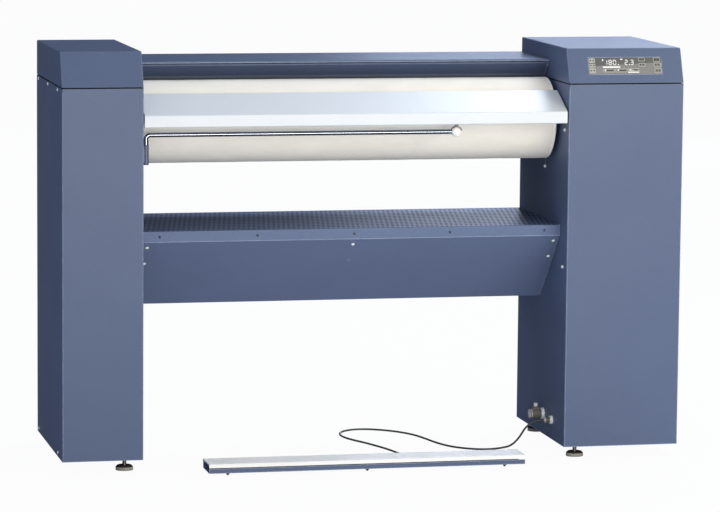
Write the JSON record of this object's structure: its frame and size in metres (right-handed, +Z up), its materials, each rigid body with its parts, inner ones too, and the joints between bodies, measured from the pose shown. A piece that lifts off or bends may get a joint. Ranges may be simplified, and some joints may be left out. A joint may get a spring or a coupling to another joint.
{
  "type": "flatwork ironer",
  "caption": "Floor-standing roller ironer: padded roller and heated trough between two sheet-metal columns, with feed board, laundry tray, swing rail, finger guard and foot bar on a cable.",
  "frame": {"origin": "on the floor, at the middle of the footprint, foot bar included and cable left out", "axes": "+X to the right seen from the front, the front faces -Y, +Z up"},
  "size_m": [1.5568, 0.5833, 1.023],
  "materials": {
    "blue_enamel": "semi-gloss, cool grey-blue",
    "board_steel": "satin",
    "frame_paint": "matt",
    "socket_paint": "satin",
    "bearing_iron": "cast",
    "steel": "turned",
    "gear_steel": "cut",
    "dark_steel": "blackened",
    "trough_metal": "polished inside",
    "element_sheath": "oxidised",
    "motor_paint": "satin",
    "cover_cloth": "woven padded cloth",
    "tread_aluminium": "ribbed",
    "chrome": "bright",
    "white_plastic": "gloss",
    "dark_plastic": "matt",
    "pad_rubber": "matt",
    "cable_jacket": "matt",
    "board_green": "matt",
    "display_glass": "smoked gloss"
  },
  "bodies": {
    "machine": {"left_frame": "frame_paint", "right_frame": "frame_paint", "cross_beams": "frame_paint", "left_casing": "blue_enamel", "right_casing": "blue_enamel", "left_cap": "blue_enamel", "right_cap": "blue_enamel", "control_glass": "display_glass", "control_board": "board_green", "left_rear_panel": "blue_enamel", "right_rear_panel": "blue_enamel", "mains_grommet": "dark_plastic", "foot_pads": "pad_rubber", "foot_studs": "steel", "left_bearing": "bearing_iron", "right_bearing": "bearing_iron", "arm_pivot_pins": "steel", "drive_gearmotor": "motor_paint", "press_gearmotor": "motor_paint", "electrical_plate": "steel", "contactors": "dark_plastic", "trough_cover": "blue_enamel", "feed_board": "board_steel", "board_brackets": "frame_paint", "tray_top": "blue_enamel", "tray_housing": "blue_enamel", "rail_socket": "socket_paint", "rail_catch": "frame_paint", "wall_sockets": "white_plastic", "large_plug": "dark_plastic", "cable_plug": "dark_plastic", "foot_cable": "cable_jacket", "bar_gland": "dark_plastic", "bar_base": "blue_enamel", "bar_feet": "pad_rubber", "bar_switch": "dark_plastic", "bar_springs": "steel", "panel_screws": "steel", "lip_screws": "dark_steel"},
    "roller": {"roller_tube": "steel", "roller_cover": "cover_cloth", "left_roller_end": "steel", "right_roller_end": "steel", "drive_gear": "gear_steel"},
    "pinion": {"drive_pinion": "gear_steel"},
    "trough": {"trough_plate": "trough_metal", "heating_elements": "element_sheath", "element_clamps": "steel", "heat_shield": "steel", "temperature_sensor": "steel", "left_press_arm": "steel", "right_press_arm": "steel"},
    "crank": {"press_crank": "steel"},
    "link": {"press_link": "steel"},
    "guard": {"finger_guard": "blue_enamel"},
    "rail": {"laundry_rail": "chrome", "rail_knob": "white_plastic"},
    "tread": {"bar_tread": "tread_aluminium"}
  },
  "joints": [
    {"name": "roller_spin", "type": "hinge", "parent": "machine", "child": "roller", "pos_m": [0, -0.011, 0.84], "axis": [1, 0, 0], "continuous": true},
    {"name": "pinion_spin", "type": "hinge", "parent": "machine", "child": "pinion", "pos_m": [0.547, -0.059, 0.75686], "axis": [1, 0, 0], "continuous": true},
    {"name": "trough_press", "type": "hinge", "parent": "machine", "child": "trough", "pos_m": [0, 0.009, 0.61], "axis": [1, 0, 0], "range_deg": [0, 2]},
    {"name": "crank_turn", "type": "hinge", "parent": "machine", "child": "crank", "pos_m": [0.527, 0.15802, 0.48], "axis": [1, 0, 0], "range_deg": [0, 40]},
    {"name": "link_pivot", "type": "hinge", "parent": "trough", "child": "link", "pos_m": [0.516, 0.16576, 0.60726], "axis": [1, 0, 0], "range_deg": [-2, 0]},
    {"name": "guard_swing", "type": "hinge", "parent": "machine", "child": "guard", "pos_m": [0, 0.018, 0.972], "axis": [1, 0, 0], "range_deg": [0, 4]},
    {"name": "rail_swing", "type": "hinge", "parent": "machine", "child": "rail", "pos_m": [-0.571, -0.175, 0.775], "axis": [0, 0, -1], "range_deg": [0, 95]},
    {"name": "tread_press", "type": "hinge", "parent": "machine", "child": "tread", "pos_m": [-0.0355, -0.18738, 0.02462], "axis": [1, 0, 0], "range_deg": [0, 1.2], "stiffness_Nm_per_rad": 40, "springref_deg": -1.15, "deforming": ["bar_springs"]}
  ],
  "couplings": [
    {"joint": "pinion_spin", "follows": "roller_spin", "ratio": -3},
    {"joint": "crank_turn", "follows": "trough_press", "ratio": 20},
    {"joint": "link_pivot", "follows": "trough_press", "ratio": -1}
  ]
}
